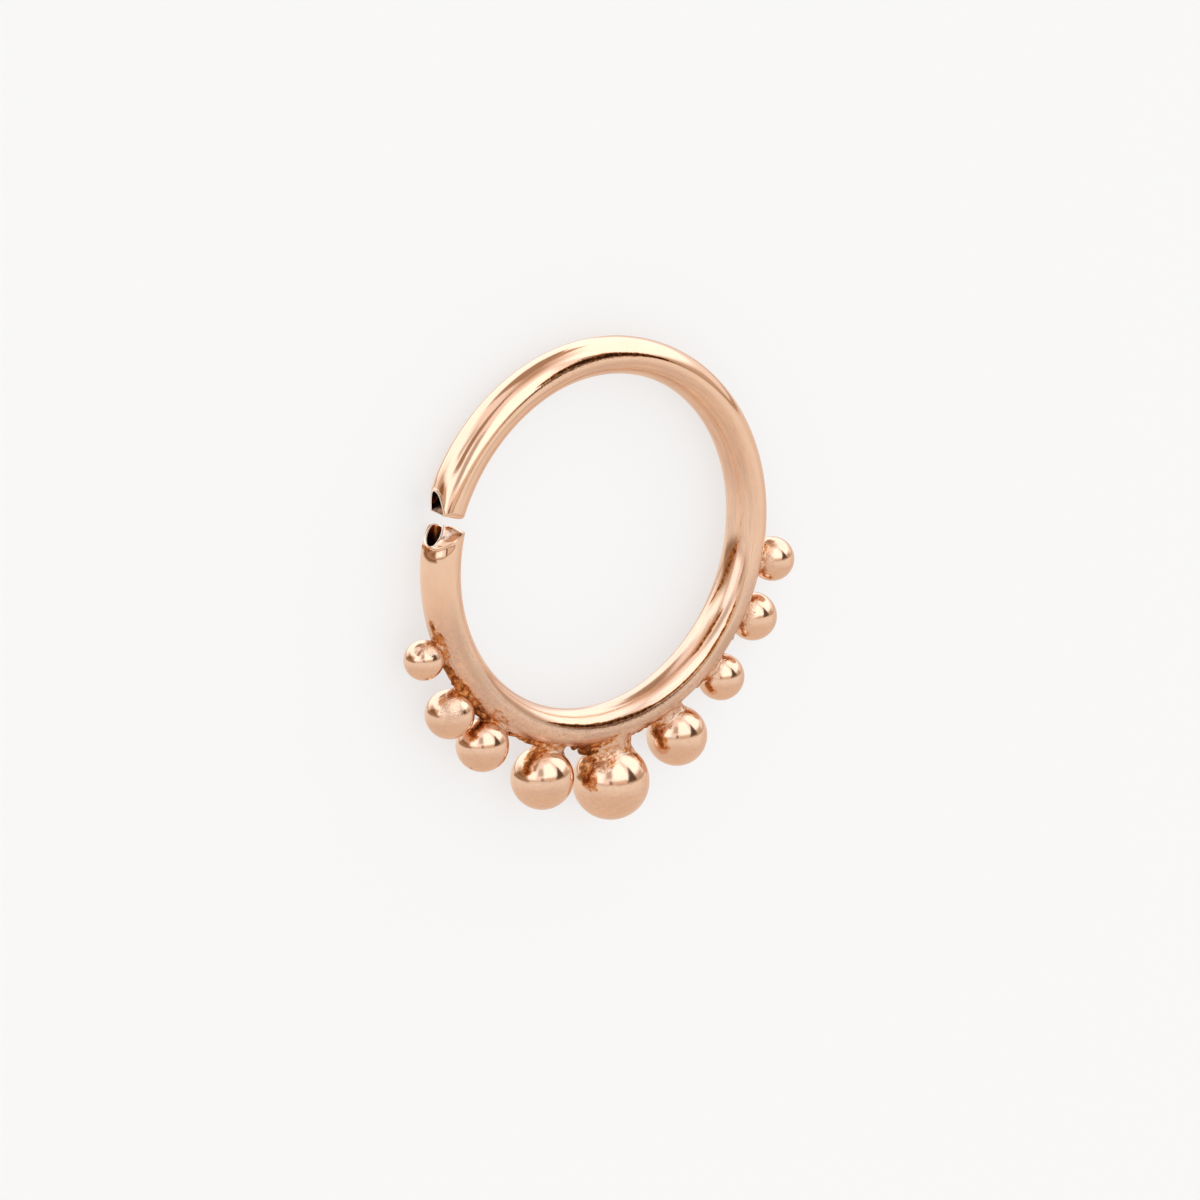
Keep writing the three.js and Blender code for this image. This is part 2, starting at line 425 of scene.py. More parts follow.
def resting_shift():
    """How the leaning hoop moves to lie where the CAD model lies."""
    turn, ring = np.meshgrid(np.radians(np.arange(0, 360, 3)), np.arange(FIRST_ANGLE, LAST_ANGLE))
    skin = leaned(hoop_point(ring, *oval(turn, SKIN_HALF))).reshape(-1, 3)
    middles = leaned([bead_centre(bead) for bead in BEADS])
    radii = np.array([[bead.radius] for bead in BEADS])
    lowest = np.concatenate([skin, middles - radii]).min(0)
    highest = np.concatenate([skin, middles + radii]).max(0)
    shift = np.array(cad_box[0] + cad_box[1]) / 2 / MM - (lowest + highest) / 2
    shift[2] = cad_box[0].z / MM - REST_FLAT - lowest[2]
    return shift


SHIFT = resting_shift()


def placed(points):
    """Where points lie in metres with the hoop on the floor, polished flat where it touches."""
    laid = leaned(points) + SHIFT
    laid[..., 2] = np.maximum(laid[..., 2], 0)
    return laid * MM


def add_object(name, data):
    made = bpy.data.objects.new(name, data)
    bpy.context.scene.collection.objects.link(made)
    return made


def new_piece(name, points, faces, material, fields):
    """A smooth piece of the hoop. fields holds numbers or vectors for each point, by name."""
    mesh = bpy.data.meshes.new(name)
    mesh.from_pydata(placed(points).tolist(), [], faces.tolist())
    mesh.update()
    mesh.shade_smooth()
    for field, values in fields.items():
        kind, key = ("FLOAT", "value") if values.ndim == 1 else ("FLOAT_VECTOR", "vector")
        attribute = mesh.attributes.new(field, kind, "POINT")
        attribute.data.foreach_set(key, values.astype(np.float32).ravel())
    mesh.materials.append(material)
    piece = add_object(name, mesh)
    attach(piece, "root")
    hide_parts("hoop")


# ---- Marks of the soldering

HEAT_REACH = 1.1  # how far from a bead's skin its soldering may have marked the metal
RAGGED = ((0.10, 0.11), (0.04, 0.08))  # width and height of the lumps in a ragged edge
RAGGED_SEED_STEP = 10
SPATTER_BURN = 0.4
SPATTER_GRAIN = 0.8
SPECK_WIDTH = 0.09
NECK_BURN = 0.20
OUTLINE_BURN = 0.5  # of the dark line where the solder ends
OUTLINE_OFF = 0.05  # how far outside the neck it lies
OUTLINE_HALF = 0.04
OUTLINE_BREAK = 0.3  # about how long its unbroken stretches are
SHARP_SCORCH = 0.06  # a scorch narrower than this has a sharper edge


def bead_marks(points, number, bead):
    """How burnt the soldering of one bead has left each point, and how grainy."""
    centre = bead_centre(bead)
    axes = bead_axes(bead)
    ragged = layered(points, RAGGED, SEEDS["ragged"] + number, RAGGED_SEED_STEP)
    sources = solder_sources(points, number)
    near = np.minimum.reduce(sources) + ragged
    broken = smoothstep(0.35, 0.65, lumps(points, OUTLINE_BREAK, SEEDS["outline"] + number))
    outline = np.exp(-((near - OUTLINE_OFF) / OUTLINE_HALF) ** 2) * broken
    grains = [faded(0.03, 0.13, near)]
    marks = [NECK_BURN * faded(-0.02, 0.05, near), OUTLINE_BURN * outline]
    for film in of_bead(FILMS, number):
        middle = centre + bead.radius * (np.array(film.middle) @ axes)
        distance = ball_distance(points, middle, film.radius) + ragged
        covered = faded(-0.03, 0.06, distance)
        grains.append(film.grain * covered)
        marks.append(film.burn * covered)
    for run, distance in zip(of_bead(RUNS, number), sources[1:]):
        marks.append(run.burn * faded(0.0, 0.08, distance + ragged))
    for scorch in of_bead(SCORCHES, number):
        ends = centre + bead.radius * (np.array((scorch.start, scorch.end)) @ axes)
        distance = rod_distance(points, *ends, scorch.half)
        soft = min(1, scorch.half / SHARP_SCORCH)
        edge = smoothstep(-0.05 * soft, 0.08 * soft, distance + 0.5 * ragged * soft)
        marks.append(scorch.burn * (1 - edge))
    return np.maximum.reduce(marks), np.maximum.reduce(grains)


def heat_marks(points):
    """How burnt the soldering has left each point, and how grainy, from 0 to 1."""
    burn = np.zeros(len(points))
    grain = np.zeros(len(points))
    for number, bead in enumerate(BEADS, 1):
        close = ball_distance(points, bead_centre(bead), 0) < bead.radius + HEAT_REACH
        if close.any():
            marks, grains = bead_marks(points[close], number, bead)
            burn[close] = np.maximum(burn[close], marks)
            grain[close] = np.maximum(grain[close], grains)
    ragged = 2 * layered(points, RAGGED, SEEDS["spatter"], RAGGED_SEED_STEP)
    specks = lumps(points, SPECK_WIDTH, SEEDS["flux"])
    for spatter in SPATTERS:
        middle = hoop_point(spatter.angle, *oval(math.radians(spatter.section), SKIN_HALF))
        distance = ball_distance(points, middle, spatter.radius) + ragged
        pitted = faded(-0.12, 0.06, distance)
        grain = np.maximum(grain, SPATTER_GRAIN * pitted)
        burn = np.maximum(burn, SPATTER_BURN * pitted * specks)
    return burn, grain


# ---- The tube

SIDES = 128  # round the tube's section
STEPS = 470  # along the skin
BORE_STEPS = 60  # along the bore
CROWDING = 0.2  # how much closer the steps are at the ends of the skin
TURNS = np.radians(np.arange(SIDES) * 360 / SIDES)
SKIN_OUTLINE = np.array(oval(TURNS, SKIN_HALF))
BORE_OUTLINE = np.array(oval(TURNS, BORE_HALF))
ROUNDING = np.radians(np.linspace(0, 90, 7))
FACE_SHARES = (
    *(0.05 * step for step in range(1, 16)), 0.79, 0.83, 0.86, 0.89, 0.92, 0.94, 0.96, 0.98, 1.0,
)
BORE_DEPTHS = (0.012, 0.03, 0.06, 0.1, 0.16, 0.24, 0.34, 0.46, 0.6, 0.8, 1.0)
BORE_GAP = 2  # degrees from the last ring of a mouth to the bore's own rings

MOST_ROUNDED = 0.4  # the most of an end's face that its rounding may take up
LIP_WIDTH = 0.055  # of the rim round each mouth, painted bright as a highlight
LIP_HEIGHT = 0.018
MOST_LIP = 0.2  # the most that the rim is raised, as a share of the face's width
TAPER_REACH = 0.2  # how far along the skin the taper goes
TAPER_DEPTH = 0.2  # filing this deep has the whole taper beside it
SWELL = 0.006  # unevenness of the tube, as a share of its thickness
SWELL_SIZE = 0.55
SWELL_LENGTH = 4  # how much longer the uneven places are along the tube
FAR = 9  # stands for the distance where no filed edge is near

# Painted shade in the bore and on the skin beside the ends; the first is how dark the bore is painted.
BORE_PAINTED_SHADE = 0.95
PAINTED_SHADE_DEPTHS = (0, 0.2, 0.6, 1)  # where the bore's painted shade is given, inside the mouth
EDGE_PAINTED_SHADE = 0.3  # painted shade at the skin's edge at the high end
EDGE_PAINTED_SHADE_REACH = 0.04
LOW_PAINTED_SHADOW = 0.75  # of the painted shadow under the low end's mouth
LOW_PAINTED_SHADOW_SPAN = (-60, 12)  # degrees of the section
LOW_PAINTED_SHADOW_REACH = 0.07

# The tube's finish and the places painted darker, by angles round the hoop and, where said, the
# section's angle.
SATIN_RISE = (182, 197)  # where the satin of the beads' side begins
SATIN_FALL = (325, 352)  # and ends
SATIN_LIMIT = ((240, 262), (102, 95))  # two angles, and the section's angle that it goes to there
DARKENED_SPANS = (((306, 324), 1.0), ((262, 300), 0.3))  # each with how much darker it is painted, as a darker reflection
DARKENED_TOP = ((186, 217), (68, 92), 0.75)  # painted darker as a darker reflection; the second span is of the section
BRUSHED_RISE = (88, 104)  # of the section
ROUGH_SECTION = (66, 100)
ROUGH_SPANS = ((248, 302), (430, 470))


def facing(end):
    """The way that the filing of an end faces, in the section."""
    return math.cos(math.radians(end.turn)), math.sin(math.radians(end.turn))


def filed(end, radial, axial):
    """How deep the filing goes at a place in the section, and how steep it is there."""
    a, b = facing(end)
    across = radial * a + axial * b - end.start
    share = np.clip(across / end.span, 0, 1)
    depth = end.depth * (1 - (1 - share) ** end.bow)
    steep = np.where(share > 0, end.depth * end.bow * (1 - share) ** (end.bow - 1) / end.span, 0)
    return depth, steep


def taper_of(end, away):
    """How much narrower the section is at a distance from the filed edge of an end."""
    depth, _ = filed(end, *SKIN_OUTLINE)
    return end.taper * np.clip(depth / TAPER_DEPTH, 0, 1) * np.exp(-(away / TAPER_REACH) ** 2)


def end_point(end, depth, radial, axial):
    return hoop_point(end.angle + end.side * depth / MM_PER_DEGREE, radial, axial)


def mouth_of(end):
    """The mouth's outline, cut off where the end stays closed."""
    radial, axial = oval(TURNS, end.half, end.mouth, end.mouth_turn)
    a, b = facing(end)
    push = np.maximum(end.chord - radial * a - axial * b, 0)
    return np.array([radial + push * a, axial + push * b])


def face_of(end):
    """An end's face: its outer edge, the way from there to the mouth, its width and rounding."""
    outer = SKIN_OUTLINE * (1 - taper_of(end, 0))
    across = mouth_of(end) - outer
    width = np.linalg.norm(across, axis=0)
    return outer, across / width, width, np.minimum(end.edge, MOST_ROUNDED * width)


def creased(end, share):
    if end is not ENDS["low"]:
        return 0
    degrees = np.degrees(TURNS)
    height = sum(c.height * np.clip(1 - np.abs(degrees - c.angle) / c.half, 0, 1) for c in CREASES)
    return height * 4 * share * (1 - share)


def rounding_rings(end):
    """Rings round an end's outer edge, with the painted highlight and the painted darkness at each
    point.
    """
    outer, inwards, width, rounding = face_of(end)
    thin = faded(1.0, 1.6, width / LIP_WIDTH)
    for angle in ROUNDING[:-1]:
        place = outer + inwards * rounding * (1 - math.cos(angle))
        depth, _ = filed(end, *place)
        ring = end_point(end, depth + rounding * (1 - math.sin(angle)), *place)
        yield ring, thin * math.sin(angle), np.zeros(SIDES)


def face_rings(end):
    """Rings over an end's face to its mouth, with the painted highlight and the painted dark
    reflection at each point.
    """
    outer, inwards, width, rounding = face_of(end)
    marks = PAINTED_FACE_MARKS if end is ENDS["low"] else []
    lip = np.minimum(LIP_HEIGHT, MOST_LIP * width)
    for share in (0, *FACE_SHARES):
        offset = rounding + share * (width - rounding)
        place = outer + inwards * offset
        depth, steep = filed(end, *place)
        rim = np.clip((width - offset) / np.minimum(LIP_WIDTH, width - rounding), 0, 1)
        height = lip * 0.5 * (1 - np.cos(2 * np.pi * rim)) + creased(end, share)
        height = height / np.hypot(1, steep)
        place = place + height * steep * np.array(facing(end))[:, None]
        # A highlight is painted on the rim round the mouth.
        worn = smoothstep(0, 0.2, 1 - rim)
        burn = np.zeros(SIDES)
        # The marks paint highlights and dark reflections on the face.
        for mark in marks:
            aside = np.abs(np.degrees(TURNS) - mark.angle) / mark.half
            shown = np.clip(1.5 - 1.5 * aside, 0, 1) * between(share, (mark.low, mark.high), 0.04)
            worn = np.maximum(worn, mark.worn * shown)
            burn = np.maximum(burn, mark.burn * shown)
        yield end_point(end, depth - height, *place), worn, burn


def mouth_rings(end):
    """Rings from an end's mouth into the bore, with the painted highlight on the far wall and the
    painted shade of the bore at each point.
    """
    mouth = mouth_of(end)
    start, _ = filed(end, *mouth)
    far_wall_highlight = end.shine * between(np.degrees(TURNS), FAR_HIGHLIGHT_SPAN)
    for inside in BORE_DEPTHS:
        share = smoothstep(0, 0.6, inside)
        depth = start + inside + share * (start.max() - start)
        ring = end_point(end, depth, *(mouth + share * (BORE_OUTLINE - mouth)))
        # A highlight is painted on the far wall's edge.
        worn = far_wall_highlight * faded(0.02, 0.06, inside)
        # The bore's shade is painted in, darker further inside.
        soot = np.interp(inside, PAINTED_SHADE_DEPTHS, (*end.soot, end.soot[1], BORE_PAINTED_SHADE))
        uneven = lumps(ring, 0.09, SEEDS["bore"]) - 0.5
        yield ring, worn, (soot + 0.6 * uneven) * (1 - worn)


def end_rings(end):
    """All of an end's rings, with the painted highlight and the painted darkness at each point."""
    rings = [*rounding_rings(end), *face_rings(end), *mouth_rings(end)]
    return [np.array(part) for part in zip(*rings)]


def skin_rings():
    """Rings along the skin, and how far each point is from the filed part of each end."""
    limits, cuts = [], []
    for end in ENDS.values():
        outer, _, _, rounding = face_of(end)
        depth, _ = filed(end, *outer)
        limits.append(end.angle + end.side * (depth + rounding) / MM_PER_DEGREE)
        cuts.append(depth > 0)
    first, last = limits
    share = np.linspace(0, 1, STEPS)[:, None]
    crowded = CROWDING * (0.5 - 0.5 * np.cos(np.pi * share)) + (1 - CROWDING) * share
    angle = first + crowded * (last - first)
    from_low, from_high = (angle - first) * MM_PER_DEGREE, (last - angle) * MM_PER_DEGREE
    low, high = ENDS.values()
    narrowed = 1 - taper_of(low, from_low) - taper_of(high, from_high)
    away = [np.where(cut, distance, FAR) for cut, distance in zip(cuts, (from_low, from_high))]
    along = np.radians(angle) * RING_RADIUS
    around = [np.broadcast_to(f(TURNS), angle.shape) for f in (np.cos, np.sin)]
    place = np.stack([along / SWELL_LENGTH, *around], -1)
    size = narrowed * (1 + SWELL * (lumps(place, SWELL_SIZE, SEEDS["swell"]) - 0.5))
    radial, axial = SKIN_OUTLINE
    return hoop_point(angle, radial * size, axial * size), away


def wrapped_faces(rings, sides):
    """Quads between rings of points, where the last ring joins the first again."""
    ring = np.arange(rings)[:, None]
    side = np.arange(sides)[None]
    next_ring, next_side = (ring + 1) % rings, (side + 1) % sides
    corners = ((ring, side), (ring, next_side), (next_ring, next_side), (next_ring, side))
    return np.stack([r * sides + s for r, s in corners], -1).reshape(-1, 4)


def tube_finish(points):
    """How satin, darkened, brushed and rough the tube is at each point, from 0 to 1.

    The outer side is satin along the beads, with places painted darker as darker reflections of the
    beads beside it, and a band along the top is painted darker too. The inner wall is brushed, fine
    darker seams run along the tube, and the top is rough where the polishing stopped short.
    """
    angle = ring_angle(points)
    radial = np.hypot(points[:, 0], points[:, 1]) - RING_RADIUS
    section = np.degrees(np.arctan2(points[:, 2] / TUBE_AXIAL, radial / TUBE_RADIAL))
    limit = np.interp(angle, *SATIN_LIMIT)
    outer = faded(limit - 7, limit + 6, np.abs(section))
    satin = outer * smoothstep(*SATIN_RISE, angle) * faded(*SATIN_FALL, angle)
    # Painted darker reflections, and the darker seams.
    darkened = outer * np.maximum.reduce([d * between(angle, span, 9) for span, d in DARKENED_SPANS])
    span, top, depth = DARKENED_TOP
    darkened = np.maximum(darkened, depth * between(angle, span, 9) * between(section, top))
    for seam in SEAMS:
        aside = section - seam.section - seam.slope * (angle - seam.angle)
        line = np.exp(-(aside / SEAM_HALF) ** 2) * between(angle, seam.span, 8)
        darkened = np.maximum(darkened, seam.depth * line)
    brushed = smoothstep(*BRUSHED_RISE, np.abs(section))
    unpolished = np.maximum.reduce([between(angle, span, 6) for span in ROUGH_SPANS])
    rough = between(section, ROUGH_SECTION, 14) * unpolished
    return {"satin": satin, "darkened": darkened, "brushed": brushed, "rough": rough}


def painted_dark_reflections(points):
    """How dark the painted dark reflections along the tube make each point of it."""
    angle, radial, axial = in_section(points)
    section = np.degrees(np.arctan2(axial / TUBE_AXIAL, radial / TUBE_RADIAL))
    uneven = 2 * (lumps(points, 0.12, SEEDS["painted_dark_line"]) - 0.5)
    burn = np.zeros(len(points))
    for line in PAINTED_DARK_REFLECTIONS:
        angles, sections, halves = zip(*line.places)
        half = np.interp(angle, angles, halves)
        aside = np.abs((section - np.interp(angle, angles, sections) + 180) % 360 - 180)
        edge = smoothstep(0.55, 1.35, aside / np.maximum(half, 0.1) + 0.25 * uneven)
        burn = np.maximum(burn, line.burn * (1 - edge) * smoothstep(0, 2, half))
    return burn


def painted_skin_shade(from_low, from_high):
    """How dark the skin is painted beside each end, by how far it is from the filed part of it:
    a painted shadow under the low end's mouth, and painted shade at the high end's edge.
    """
    section = (np.degrees(TURNS) + 200) % 360 - 200
    depth, _ = filed(ENDS["low"], *SKIN_OUTLINE)
    beyond = from_low + depth - depth.max()
    below = smoothstep(-0.05, 0.01, beyond) * np.exp(-np.maximum(beyond, 0) / LOW_PAINTED_SHADOW_REACH)
    low = LOW_PAINTED_SHADOW * between(section, LOW_PAINTED_SHADOW_SPAN) * below
    return np.maximum(EDGE_PAINTED_SHADE * np.exp(-from_high / EDGE_PAINTED_SHADE_REACH), low)


def make_tube(material):
    low, high = end_rings(ENDS["low"]), end_rings(ENDS["high"])
    skin, away = skin_rings()
    soot = painted_skin_shade(*away)
    bore_start = ring_angle(high[0][-1]).min() - BORE_GAP
    bore_end = ring_angle(low[0][-1]).max() + BORE_GAP
    bore = hoop_point(np.linspace(bore_start, bore_end, BORE_STEPS)[:, None], *BORE_OUTLINE)
    # The bore is painted dark all along, as painted shade.
    bore_shade = np.full(bore.shape[:2], BORE_PAINTED_SHADE)
    loop = [(skin, 0 * soot, soot), high, (bore, 0 * bore_shade, bore_shade), [r[::-1] for r in low]]
    points, worn, painted_darkness = (np.concatenate(part) for part in zip(*loop))
    points = points.reshape(-1, 3)
    burn, grain = heat_marks(points)
    rings = len(points) // SIDES
    turns = np.tile(TURNS, rings)
    along = np.radians(ring_angle(points)) * RING_RADIUS
    new_piece("hoop_tube", points, wrapped_faces(rings, SIDES)[:, ::-1], material, {
        # Real scorch from the soldering, together with painted shade beside the ends and in the bore
        # and painted dark reflections.
        "burn": np.maximum.reduce([burn, painted_darkness.ravel(), painted_dark_reflections(points)]),
        "grain": grain,
        # Painted highlights on the rims, the far wall and the low end's face.
        "worn": worn.ravel(),
        "drawn": np.stack([along, np.cos(turns), np.sin(turns)], -1),
        **tube_finish(points),
    })


# ---- Beads

BEAD_CELLS = 40  # along each side of the six patches that make a ball
BEAD_UNEVEN = 0.008  # as a share of the radius
BEAD_LUMPS = 0.7
BEAD_SATIN = 0.15
UNDERSIDE_SATIN = 0.27  # where the polishing has missed the beads
UNDERSIDE = (-0.24, -0.94, 0.25)  # in the hoop's own frame


def ball_patches(cells):
    """Points and quads of a unit ball made of six square patches that share their edges."""
    grid = np.linspace(-1, 1, cells + 1)
    points, faces, known = [], [], {}
    for axis, sign in product(range(3), (-1, 1)):
        index = np.empty((cells + 1, cells + 1), int)
        for i, j in product(range(cells + 1), repeat=2):
            cube = np.roll([sign, grid[i], grid[j]], axis)
            key = tuple(round(c * cells) for c in cube)
            if key not in known:
                known[key] = len(points)
                points.append([math.tan(c * math.pi / 4) for c in cube])
            index[i, j] = known[key]
        quads = np.stack([index[:-1, :-1], index[1:, :-1], index[1:, 1:], index[:-1, 1:]], -1)
        faces.append(quads.reshape(-1, 4)[:, ::sign])
    points = np.array(points)
    return points / np.linalg.norm(points, axis=-1, keepdims=True), np.concatenate(faces)


def make_beads(material):
    ball, faces = ball_patches(BEAD_CELLS)
    for number, bead in enumerate(BEADS, 1):
        axes = bead_axes(bead)
        uneven = 1 + BEAD_UNEVEN * (lumps(ball, BEAD_LUMPS, SEEDS["bead"] + number) - 0.5)
        points = bead_centre(bead) + bead.radius * uneven[:, None] * (ball @ axes)
        burn, grain = heat_marks(points)
        under = smoothstep(0.0, 0.35, ball @ axes @ np.array(UNDERSIDE))
        new_piece(f"bead_{number}", points, faces, material, {
            "burn": burn,
            "grain": grain,
            "satin": BEAD_SATIN + (UNDERSIDE_SATIN - BEAD_SATIN) * under,
            "drawn": points / SKIN_HALF[0],
        })


# ---- Solder

SOLDER_CELL = 0.024  # of the grid that the solder is meshed on
SOLDER_MARGIN = 0.05  # round the solder in that grid
FOOT_REACH = 0.32  # how far the solder may spread from the neck
RUN_REACH = 0.15  # and from the ends of its runs
BURIED = 0.8 * WALL  # how deep in the tube and the bead the solder's inner side lies
SHADE_BURN = 0.5  # on the side of the neck that faces smaller angles
SHADE_LUMPS = 0.12


def net_of(field, corner, cell):
    """Points and quads of the surface where a field of numbers on a grid passes zero."""
    size = np.array(field.shape) - 1
    total = np.zeros((*size, 3))
    count = np.zeros(tuple(size))
    for axis in range(3):
        for a, b in product((0, 1), repeat=2):
            first, second = np.roll((0, a, b), axis), np.roll((1, a, b), axis)
            f, g = (field[tuple(slice(o, o + n) for o, n in zip(c, size))] for c in (first, second))
            crossed = (f < 0) != (g < 0)
            place = np.zeros((*size, 3)) + first
            place[..., axis] = f / np.where(crossed, f - g, 1)
            total += np.where(crossed[..., None], place, 0)
            count += crossed
    used = count > 0
    number = np.full(tuple(size), -1)
    number[used] = np.arange(used.sum())
    points = np.argwhere(used) + total[used] / count[used][:, None]
    quads = []
    steps = np.eye(3, dtype=int)
    for axis in range(3):
        f = field[:-1, :-1, :-1]
        g = field[tuple(slice(o, o + n) for o, n in zip(steps[axis], size))]
        here = np.argwhere((f < 0) != (g < 0))
        across = steps[[(axis + 1) % 3, (axis + 2) % 3]]
        here = here[np.all(here @ across.T > 0, axis=1)]
        ring = [here, here - across[0], here - across[0] - across[1], here - across[1]]
        quad = np.stack([number[tuple(c.T)] for c in ring], -1)
        rising = (f < 0)[tuple(here.T)]
        quads.append(np.where(rising[:, None], quad, quad[:, ::-1]))
    return corner + cell * points, np.concatenate(quads)


def largest_part(points, faces):
    """The largest part of a mesh that hangs together by whole sides, without the crumbs on it."""
    sides = np.sort(np.stack([faces, np.roll(faces, -1, axis=1)], axis=-1), axis=-1).reshape(-1, 2)
    _, number, count = np.unique(sides @ (len(points), 1), return_inverse=True, return_counts=True)
    order = np.argsort(number, kind="stable")
    shared = order[count[number[order]] == 2]
    pairs = shared.reshape(-1, 2) // faces.shape[1]
    part = np.arange(len(faces))  # each starts alone, then takes its neighbours' lowest number
    while True:
        joined = part.copy()
        least = part[pairs].min(axis=1)
        for face in pairs.T:
            np.minimum.at(joined, face, least)
        joined = joined[joined]
        if np.array_equal(joined, part):
            break
        part = joined
    faces = faces[part == np.bincount(part).argmax()]
    used, renumbered = np.unique(faces, return_inverse=True)
    return points[used], renumbered.reshape(-1, 4)


def make_solder(material):
    for number, bead in enumerate(BEADS, 1):
        outwards, along, _ = bead_axes(bead)
        centre = bead_centre(bead)
        joint = centre - outwards * (bead.radius + bead.solder / 2)
        ends = [bead.angle, *(a for run in of_bead(RUNS, number) for a in (run.start, run.end))]
        longest = max(abs(a - bead.angle) for a in ends) * MM_PER_DEGREE
        reach = max(bead.neck + FOOT_REACH, longest + RUN_REACH)
        corner = joint - reach - SOLDER_MARGIN
        cells = int(2 * (reach + SOLDER_MARGIN) / SOLDER_CELL)
        steps = corner[:, None] + SOLDER_CELL * np.arange(cells)
        grid = np.stack(np.meshgrid(*steps, indexing="ij"), -1)
        field = np.maximum.reduce([
            solder_distance(grid, number),
            ball_distance(grid, joint, reach),
            -tube_distance(grid) - BURIED,
            -ball_distance(grid, centre, bead.radius) - BURIED,
        ])
        points, faces = largest_part(*net_of(field, corner, SOLDER_CELL))
        burn, _ = heat_marks(points)
        side = (points - joint) @ -along / bead.neck
        patchy = lumps(points, SHADE_LUMPS, SEEDS["shade"] + number) + 0.4
        shaded = SHADE_BURN * smoothstep(0.45, 1.15, side) * patchy
        new_piece(f"solder_{number}", points, faces, material, {
            "burn": np.clip(np.maximum(burn, shaded), 0, 1),
            "grain": np.ones(len(points)),
            "drawn": points / SKIN_HALF[0],
        })


# ---- Materials

GOLD = (0.93, 0.68, 0.52)
SOLDER = (0.85, 0.62, 0.48)
AMBER = (0.62, 0.25, 0.075)
BROWN = (0.25, 0.09, 0.03)
# The darkest colour of the burn field: soot, and also the painted shade and painted dark reflections.
SOOT_AND_SHADE = (0.05, 0.018, 0.01)
MAUVE = (0.66, 0.51, 0.46)
PURE_WHITE = (1.0, 1.0, 1.0)  # also for the painted highlights
DARKENING = 0.72  # how much of the light the darkened metal gives back, for painted darker reflections
POLISH = 0.08  # the roughness of the polished metal
MELTED = 0.12  # and of the solder

# Noises in the metal: the width of the lumps, the detail and the roughness. The first four are in
# space, in millimetres. The other two are in the "drawn" field, whose first axis runs along the
# tube, and their lumps are many times as long as wide.
BLOTCH = (0.10, 2, 0.55)
SPECK = (0.03, 2, 0.6)
CLOUD = (0.8, 2, 0.5)
PEBBLE = (0.055, 2, 0.65)
SCRATCH = (0.04, 2, 0.6)
SCRATCH_LENGTH = 10
BAND = (0.22, 3, 0.6)
BAND_LENGTH = 6.25
RELIEF = 0.014  # the height of the bumps in millimetres


class Shader:
    """Adds nodes to a material or world, and links them, in short calls."""

    def __init__(self, owner):
        owner.use_nodes = True
        self.tree = owner.node_tree
        self.tree.nodes.clear()

    def node(self, kind, inputs=None, **settings):
        made = self.tree.nodes.new(kind)
        for key, value in settings.items():
            setattr(made, key, value)
        for key, value in (inputs or {}).items():
            if isinstance(value, bpy.types.NodeSocket):
                self.tree.links.new(value, made.inputs[key])
            else:
                made.inputs[key].default_value = value
        return made

    def math(self, operation, *values):
        return self.node("ShaderNodeMath", dict(enumerate(values)), operation=operation).outputs[0]

    def times(self, a, b):
        return self.math("MULTIPLY", a, b)

    def step(self, value, low, high):
        inputs = {"Value": value, "From Min": low, "From Max": high}
        made = self.node("ShaderNodeMapRange", inputs, interpolation_type="SMOOTHSTEP")
        return made.outputs["Result"]

    def mix(self, share, a, b):
        inputs = {0: share, 6: a, 7: b}
        return self.node("ShaderNodeMix", inputs, data_type="RGBA").outputs[2]

    def field(self, name, output="Fac"):
        return self.node("ShaderNodeAttribute", attribute_name=name).outputs[output]

    def vectors(self, operation, a, b, output=0):
        inputs = {0: a, 1: b}
        return self.node("ShaderNodeVectorMath", inputs, operation=operation).outputs[output]

    def noise(self, place, shape, unit=1.0):
        """Noise whose lumps have the width that shape gives, in a unit of place."""
        width, detail, roughness = shape
        inputs = {"Vector": place, "Scale": 1 / (width * unit)}
        inputs.update({"Detail": detail, "Roughness": roughness})
        return self.node("ShaderNodeTexNoise", inputs).outputs["Fac"]


def rgba(colour, strength=1.0):
    return (*(c * strength for c in colour), 1.0)


